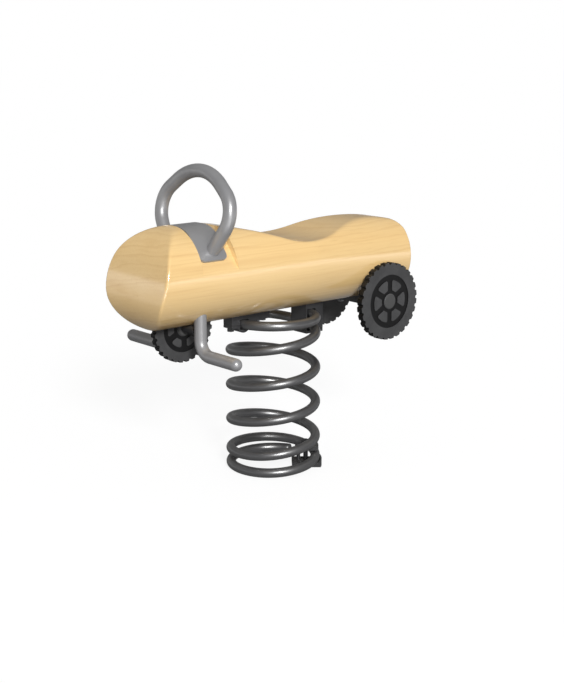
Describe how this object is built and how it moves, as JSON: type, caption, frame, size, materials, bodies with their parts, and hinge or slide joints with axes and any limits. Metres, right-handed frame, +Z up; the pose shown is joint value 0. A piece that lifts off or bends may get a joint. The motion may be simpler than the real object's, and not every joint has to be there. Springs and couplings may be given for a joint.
{
  "type": "spring rider",
  "caption": "Ride-on timber log with a seat dip, handle loop, footrests and wheels, clamped on one upright coil spring that stands on the ground and is bolted down.",
  "frame": {"origin": "on the ground, on the axis of the spring", "axes": "+X forward along the log, +Y to the rider's left, +Z up along the spring's axis"},
  "size_m": [0.675, 0.363, 0.6536],
  "materials": {
    "wood": "fine straight grain under a satin clear coat",
    "grey_steel": "satin mid-grey powder coat",
    "dark_steel": "satin dark grey powder coat",
    "wheel_plate": "grained grey skin over a black core",
    "cap_plastic": "plain matte grey",
    "bush_plastic": "matte natural",
    "zinc_steel": "zinc plated"
  },
  "bodies": {
    "base": {"spring": "dark_steel", "anchor_foot": "dark_steel", "anchor_claw": "dark_steel", "anchor_stud": "zinc_steel", "anchor_washer": "zinc_steel", "anchor_nut": "zinc_steel"},
    "rider": {"log_body": "wood", "saddle_plate": "grey_steel", "handle_loop": "grey_steel", "handle_studs": "zinc_steel", "footrest_left": "grey_steel", "footrest_right": "grey_steel", "front_axle": "zinc_steel", "front_axle_sleeves": "dark_steel", "front_hub_discs": "cap_plastic", "rear_axle_beam": "dark_steel", "beam_screws": "zinc_steel", "rear_axle": "zinc_steel", "rear_axle_sleeves": "dark_steel", "rear_axle_nuts": "zinc_steel", "front_clamp_seat": "dark_steel", "front_clamp_jaw": "dark_steel", "rear_clamp_seat": "dark_steel", "rear_clamp_jaw": "dark_steel", "clamp_bolts": "zinc_steel", "clamp_washers": "zinc_steel", "seat_screws": "zinc_steel"},
    "front_wheel_set": {"front_wheel": "wheel_plate", "front_bush": "bush_plastic"},
    "left_wheel_set": {"rear_wheel_left": "wheel_plate", "rear_bush_left": "bush_plastic", "hub_cap_left": "cap_plastic"},
    "right_wheel_set": {"rear_wheel_right": "wheel_plate", "rear_bush_right": "bush_plastic", "hub_cap_right": "cap_plastic"}
  },
  "joints": [
    {"name": "rock", "type": "hinge", "parent": "base", "child": "rider", "pos_m": [0, 0, 0.166], "axis": [0, 1, 0], "range_deg": [-20, 20], "stiffness_Nm_per_rad": 560, "deforming": ["spring"]},
    {"name": "front_wheel_spin", "type": "hinge", "parent": "rider", "child": "front_wheel_set", "pos_m": [0.237, 0, 0.3353], "axis": [0, 1, 0], "continuous": true},
    {"name": "left_wheel_spin", "type": "hinge", "parent": "rider", "child": "left_wheel_set", "pos_m": [-0.237, 0.1006, 0.3413], "axis": [0, 1, 0], "continuous": true},
    {"name": "right_wheel_spin", "type": "hinge", "parent": "rider", "child": "right_wheel_set", "pos_m": [-0.237, -0.1006, 0.3413], "axis": [0, 1, 0], "continuous": true}
  ]
}
